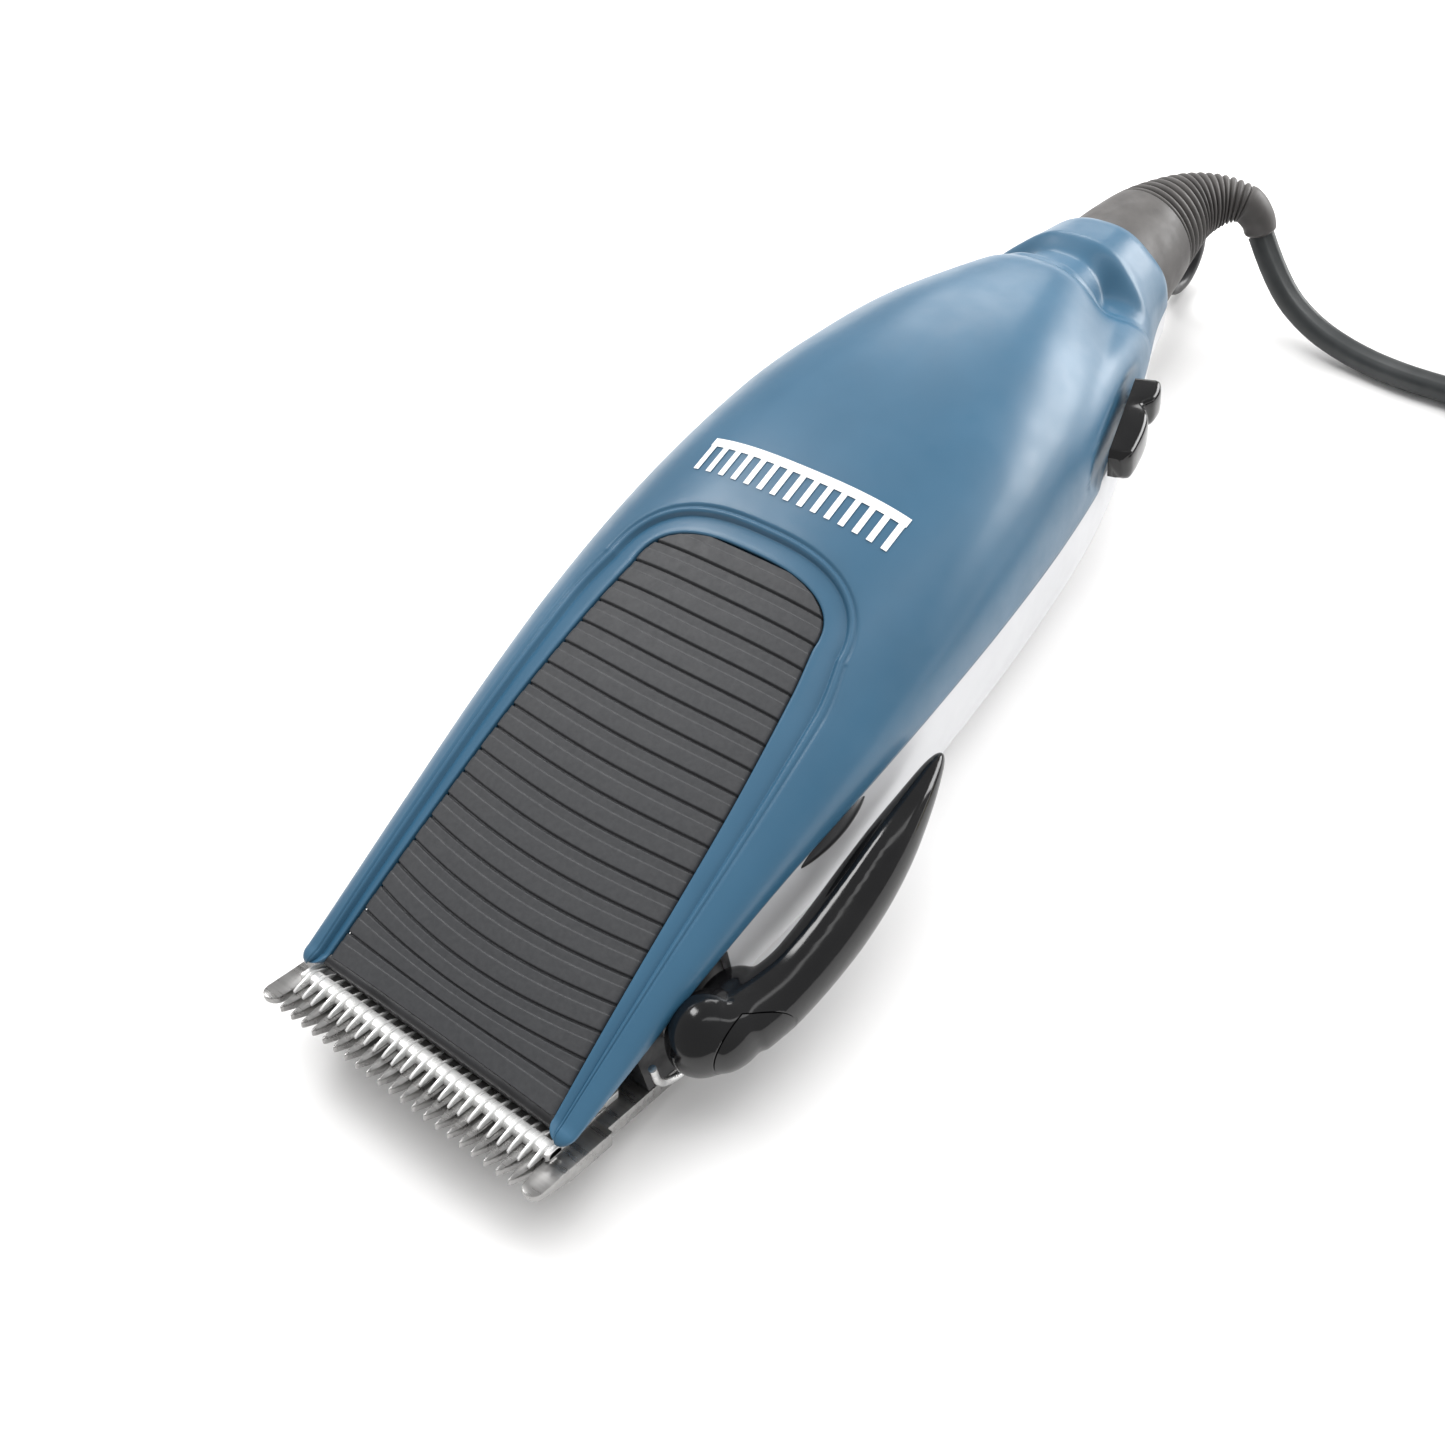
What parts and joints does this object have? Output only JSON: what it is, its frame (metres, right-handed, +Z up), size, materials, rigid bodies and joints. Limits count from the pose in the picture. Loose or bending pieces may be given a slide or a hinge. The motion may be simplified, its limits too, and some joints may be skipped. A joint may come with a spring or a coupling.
{
  "type": "hair clipper",
  "caption": "Corded hair clipper: lofted two-part casing with ribbed grip, toothed blades, taper lever, slide switch, magnetic motor and hanging loop.",
  "frame": {"origin": "on the surface the clipper lies on, under the middle of the clipper's own box, without its free cord", "axes": "+Y along the clipper from the blade teeth to the cord, +Z up from its belly to its grip panel, +X out of the side with the taper lever and the switch"},
  "size_m": [0.1323, 0.2266, 0.0393],
  "materials": {
    "blue_shell": "satin, faint metallic sparkle",
    "charcoal_rubber": "matte, finely ribbed",
    "grey_shell": "fine satin",
    "black_plastic": "polished",
    "frame_plastic": "satin black",
    "blade_steel": "ground and polished",
    "screw_steel": "bright zinc",
    "spring_steel": "bright wire",
    "core_steel": "stamped laminations",
    "winding": "enamelled copper wire",
    "bobbin_plastic": "moulded natural nylon",
    "white_plastic": "moulded acetal",
    "cord_rubber": "matte",
    "pin_brass": "nickel-free brass"
  },
  "bodies": {
    "casing": {"upper_housing": "blue_shell", "grip_panel": "charcoal_rubber", "lever_stop_pad": "black_plastic", "lower_housing": "grey_shell", "nose_frame": "frame_plastic", "fixed_blade": "blade_steel", "blade_screws": "screw_steel", "lever_detent_spring": "spring_steel", "switch_body": "frame_plastic", "stator_core": "core_steel", "coil_bobbin": "bobbin_plastic", "field_coil": "winding", "motor_screws": "screw_steel", "armature_pivot_pin": "screw_steel", "pivot_clip": "spring_steel", "return_springs": "spring_steel", "spring_bracket": "spring_steel", "terminal_block": "white_plastic", "lead_wires": "cord_rubber", "inner_cord": "cord_rubber", "housing_screws": "screw_steel", "strain_relief": "charcoal_rubber", "hanging_loop": "frame_plastic", "cord": "cord_rubber", "cord_tail": "cord_rubber", "cord_coil": "cord_rubber", "plug_body": "frame_plastic", "plug_pins": "pin_brass"},
    "lever": {"lever_arm": "black_plastic", "lever_cap": "black_plastic", "lever_shaft": "screw_steel", "lever_screw": "screw_steel"},
    "taper_carriage": {"blade_guide": "white_plastic", "tension_spring": "spring_steel"},
    "cutter": {"moving_blade": "blade_steel", "drive_block": "white_plastic"},
    "armature": {"armature_arm": "white_plastic", "armature_core": "core_steel"},
    "switch": {"switch_slider": "black_plastic"}
  },
  "joints": [
    {"name": "taper_lever_hinge", "type": "hinge", "parent": "casing", "child": "lever", "pos_m": [0.02216, -0.0677, 0.013], "axis": [-1, 0, 0], "range_deg": [0, 20]},
    {"name": "taper_slide", "type": "slide", "parent": "casing", "child": "taper_carriage", "axis": [0, 0.9483, -0.3173], "range_m": [0, 0.000992]},
    {"name": "armature_hinge", "type": "hinge", "parent": "casing", "child": "armature", "pos_m": [-0.00424, 0.0243, 0.016], "axis": [0, 0, 1], "range_deg": [-0.65, 0.65], "stiffness_Nm_per_rad": 0.5},
    {"name": "cutter_slide", "type": "slide", "parent": "taper_carriage", "child": "cutter", "axis": [1, 0, 0], "range_m": [-0.0012, 0.0012]},
    {"name": "switch_slide", "type": "slide", "parent": "casing", "child": "switch", "axis": [0.2857, -0.9583, 0], "range_m": [0, 0.003]}
  ],
  "couplings": [
    {"joint": "taper_slide", "follows": "taper_lever_hinge", "m_per_rad": 0.00284},
    {"joint": "cutter_slide", "follows": "armature_hinge", "m_per_rad": 0.1054}
  ]
}
